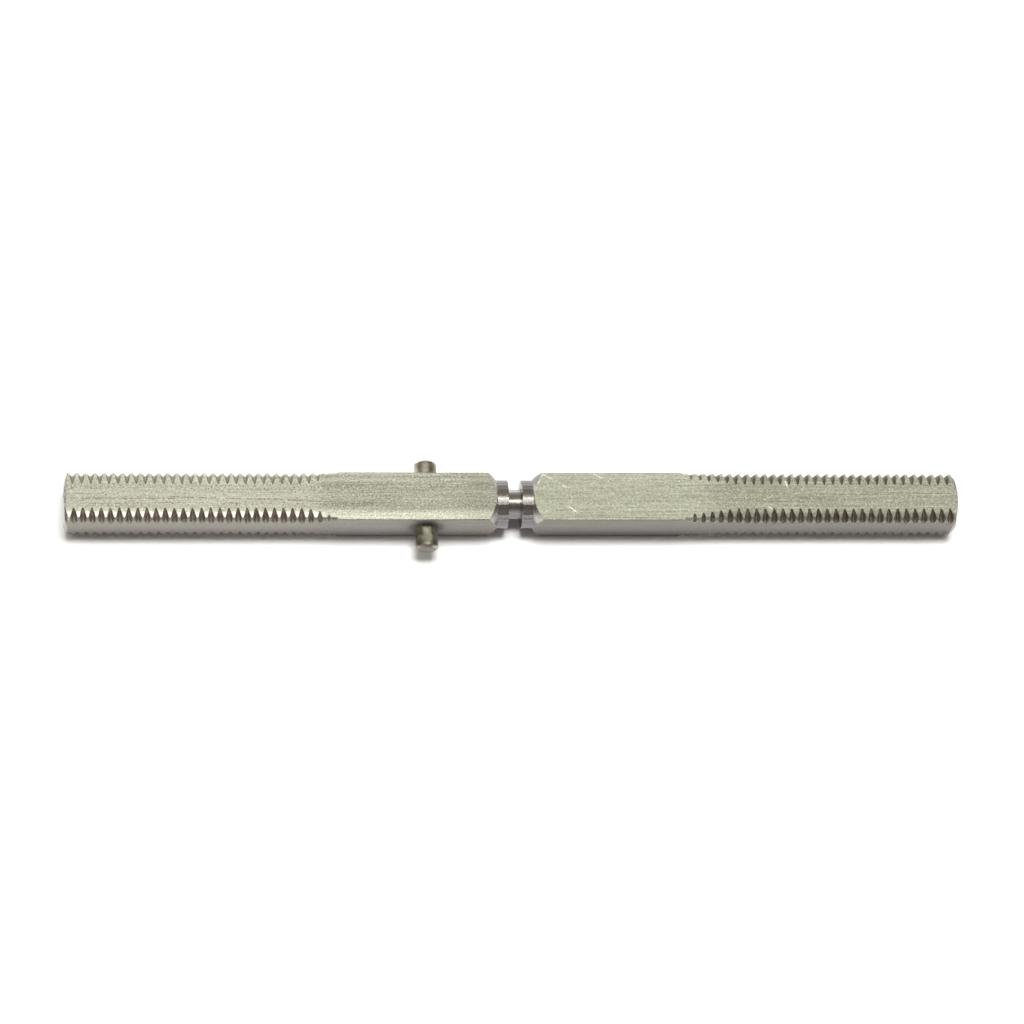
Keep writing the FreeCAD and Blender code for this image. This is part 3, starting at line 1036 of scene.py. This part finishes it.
@dataclass
class Studio:
    """Pale floor, two lamps overhead, dim surroundings and the camera."""

    target: Spot = (0.0, 0.0, 3.571875)
    distance: float = 500.0
    azimuth: float = -15.72
    elevation: float = 70.01
    roll: float = 14.88
    lens: float = 123.64
    shift: Tuple[float, float] = (-1.7 / 1024, -7.5 / 1024)
    box_distance: float = 1.5
    box_lean: float = 6.4
    box_size: Tuple[float, float] = (3.0, 0.31)
    box_power: float = 13.6
    fill_power: float = 22.0
    fill_size: Tuple[float, float] = (0.6, 0.34)
    fill_lean: float = 10.0
    box_side: float = 0.05
    floor_reach: float = 3.0
    floor_drop: float = 0.00002
    floor_tint: Colour = (0.90, 0.90, 0.895)
    front_tint: Colour = (0.125, 0.085, 0.078)
    back_tint: Colour = (0.235, 0.225, 0.175)
    wall_tint: Colour = (0.48, 0.48, 0.49)

    def floor(self) -> None:
        """Lay a wide matt sheet under the part."""
        far = self.floor_reach
        mesh = bpy.data.meshes.new("studio_floor")
        mesh.from_pydata([(-far, -far, 0), (far, -far, 0), (far, far, 0), (-far, far, 0)], [], [(0, 1, 2, 3)])
        floor = bpy.data.objects.new("studio_floor", mesh)
        bpy.context.scene.collection.objects.link(floor)
        floor.location.z = -self.floor_drop
        board = FinishBoard("pale_sheet")
        for key, value in {"Base Color": self.floor_tint, "Roughness": 1.0, "Specular IOR Level": 0.0}.items():
            board.feed(board.shader.inputs[key], value)
        mesh.materials.append(board.material)

    def soft_box(self, name: str, power: float, colour: Colour, size: Tuple[float, float],
                 degrees: float, shines: bool) -> None:
        """Hang one overhead lamp, a little behind the part.

        Args:
            name: Name of the lamp.
            power: Its power in watts.
            colour: Its tint.
            size: Its width and depth.
            degrees: How far behind the zenith it hangs.
            shines: Whether it is mirrored in metal.
        """
        lamp = bpy.data.lights.new(name, "AREA")
        lamp.shape = "RECTANGLE"
        lamp.size, lamp.size_y = size
        lamp.energy = power
        lamp.color = colour
        box = bpy.data.objects.new(name, lamp)
        lean = math.radians(degrees)
        box.location = (self.box_side, self.box_distance * math.sin(lean), self.box_distance * math.cos(lean))
        box.rotation_euler = (-lean, 0.0, 0.0)
        box.visible_glossy = shines
        bpy.context.scene.collection.objects.link(box)

    def surroundings(self) -> None:
        """Dim room for reflections, lighter low down, and pale where it is seen past the floor."""
        world = bpy.data.worlds.new("room")
        bpy.context.scene.world = world
        world.use_nodes = True
        world.node_tree.nodes.clear()
        board = NodeBoard(world.node_tree)
        direction = board.add("TexCoord", {}).outputs["Generated"]
        _, back, up = board.add("SeparateXYZ", {0: direction}).outputs
        share = board.math("MULTIPLY_ADD", back, 0.5, 0.5)
        room = board.ramp(share, ((0.1, self.front_tint), (0.9, self.back_tint)))
        walls = board.mix(board.step(up, 0.20, 0.62, 1.0, 0.0), room, self.wall_tint)
        dim = board.add("Background", {0: walls}).outputs[0]
        pale = board.add("Background", {0: WHITE}).outputs[0]
        seen = board.add("LightPath", {}).outputs["Is Camera Ray"]
        chosen = board.add("MixShader", {0: seen, 1: dim, 2: pale}).outputs[0]
        board.add("OutputWorld", {0: chosen})

    def camera(self) -> None:
        """Set the camera on its sphere round the joint, rolled about its own axis."""
        turn, rise, roll = (math.radians(value) for value in (self.azimuth, self.elevation, self.roll))
        back = Vector((math.sin(turn) * math.cos(rise), -math.cos(turn) * math.cos(rise), math.sin(rise)))
        right = (-back).cross(Vector((0, 0, 1))).normalized()
        up = right.cross(-back)
        rolled_right = math.cos(roll) * right + math.sin(roll) * up
        rolled_up = -math.sin(roll) * right + math.cos(roll) * up
        data = bpy.data.cameras.new("camera")
        data.sensor_width = 36.0
        data.lens = self.lens
        data.clip_start, data.clip_end = 0.01, 20.0
        data.shift_x, data.shift_y = self.shift
        camera = bpy.data.objects.new("camera", data)
        turned = Matrix((rolled_right, rolled_up, back)).transposed().to_4x4()
        spot = Vector(self.target) * MM + back * self.distance * MM
        camera.matrix_world = Matrix.Translation(spot) @ turned
        bpy.context.scene.collection.objects.link(camera)
        bpy.context.scene.camera = camera

    def build(self) -> None:
        """Set the whole studio up."""
        self.floor()
        self.soft_box("soft_box", self.box_power, (1.0, 0.995, 0.95), self.box_size, self.box_lean, True)
        self.soft_box("floor_light", self.fill_power, (0.99, 1.0, 1.0), self.fill_size, self.fill_lean, False)
        self.surroundings()
        self.camera()
        view = bpy.context.scene.view_settings
        view.view_transform = "Standard"
        view.look = "None"


# ---- assembly


def main() -> None:
    """Build the four pieces and the studio, in order."""
    logging.basicConfig(level=logging.INFO)
    pinned = HalfSpindle(
        name="pinned_half_spindle", node="pinned_half", body="pinned", side=Side.TO_MINUS_X,
        clean_length=35.7, runout_turns=2, seed=11, burr=0.016, cross_hole_station=12.5,
        bore=((8.45, 2.127), (0.95 + 0.05, 2.127), (0.95, 2.177)), bore_steps=(12, 1),
    )
    plain = HalfSpindle(
        name="plain_half_spindle", node="plain_half", body="plain", side=Side.TO_PLUS_X,
        clean_length=31.9, runout_turns=6, seed=29, burr=0.034, fade_turns=6.0, fade_power=1.0,
        fade_share=0.62, edge_break=0.05,
        bore=((11.25, 2.823), (5.85, 2.823), (5.85, 2.205), (1.0, 2.205), (0.95, 2.255)), bore_steps=(10, 3, 10, 1),
    )
    drawn_left = DrawnSteel(
        name="drawn_steel_worn", pale=(0.53, 0.54, 0.45), dull=(0.40, 0.405, 0.335),
        shadow_tint=(0.17, 0.16, 0.13), wear=Wear.ROLLED_FRONT_EDGE, side_shade=0.72,
        score_colour=(0.31, 0.28, 0.22), thread_tint=(0.76, 0.76, 0.66), thread_share=0.42,
        land_light_share=0.85, back_oil=0.66, pin_shade_station=-12.5, joint_dulling=0.20,
        bands=((0.0, 0.67), (0.20, 0.64), (0.26, 0.58), (0.33, 0.34), (0.42, 0.58), (0.58, 0.62), (0.68, 0.38),
               (0.74, 0.40), (0.80, 0.72), (0.86, 0.84), (0.91, 0.52), (0.97, 0.90)),
        scratches=(((-63.0, -0.35), (-48.0, -0.40), 0.10), ((-48.5, -0.15), (-26.0, -0.85), 0.09)),
    )
    drawn_right = DrawnSteel(
        name="drawn_steel_even", pale=(0.55, 0.57, 0.46), dull=(0.41, 0.42, 0.34),
        shadow_tint=(0.16, 0.15, 0.12), side_shade=0.74, offset=(31.0, 7.0, 3.0),
        painted_shade_tint=(0.20, 0.18, 0.175), groove_oil_and_shade=(0.070, 0.045, 0.038), thread_share=0.55,
        dark_specks=0.46, white_specks=0.58,
        land_light_and_shade=(0.22, 0.21, 0.17), land_light_share=0.68, back_oil=0.95,
        bands=((0.0, 0.62), (0.3, 0.66), (0.45, 0.60), (0.62, 0.66), (0.8, 0.68), (0.93, 0.76), (0.97, 0.82)),
        lip_range=(0.36, 0.52),
        scratches=(((3.95, 3.3), (6.3, 1.9), 0.10), ((3.95, 3.3), (2.75, 0.9), 0.09),
                   ((38.6, 2.3), (38.9, 1.3), 0.12), ((6.6, 1.55), (7.2, 1.4), 0.12),
                   ((36.0, -1.5), (36.6, -2.0), 0.07), ((11.2, 3.3), (12.4, 2.7), 0.08),
                   ((13.9, 3.2), (13.2, 2.2), 0.08), ((7.6, -1.6), (8.6, -2.4), 0.09),
                   ((8.5, -1.8), (8.1, -2.7), 0.07)),
    )
    neck = TurnedSteel(
        name="turned_neck_steel", clean=(0.54, 0.52, 0.49), film=(0.40, 0.37, 0.35),
        roughness=0.27, ring_stretch=(12.0, 0.6, 0.6), film_cover=0.35, neck_floor_shade=0.8,
    )
    olive = TurnedSteel(
        name="olive_pin_steel", clean=(0.45, 0.43, 0.35), film=(0.21, 0.19, 0.145),
        roughness=0.36, ring_stretch=(0.6, 10.0, 0.6), film_cover=0.5, end_shade=0.75,
    )
    for maker, finish in ((pinned, drawn_left), (plain, drawn_right), (SwivelStud(), neck), (StopPin(), olive)):
        piece = maker.make(finish)
        LOG.info("%s: %d points, %d faces", piece.name, len(piece.data.vertices), len(piece.data.polygons))
    Studio().build()


if __name__ == "__main__":
    main()
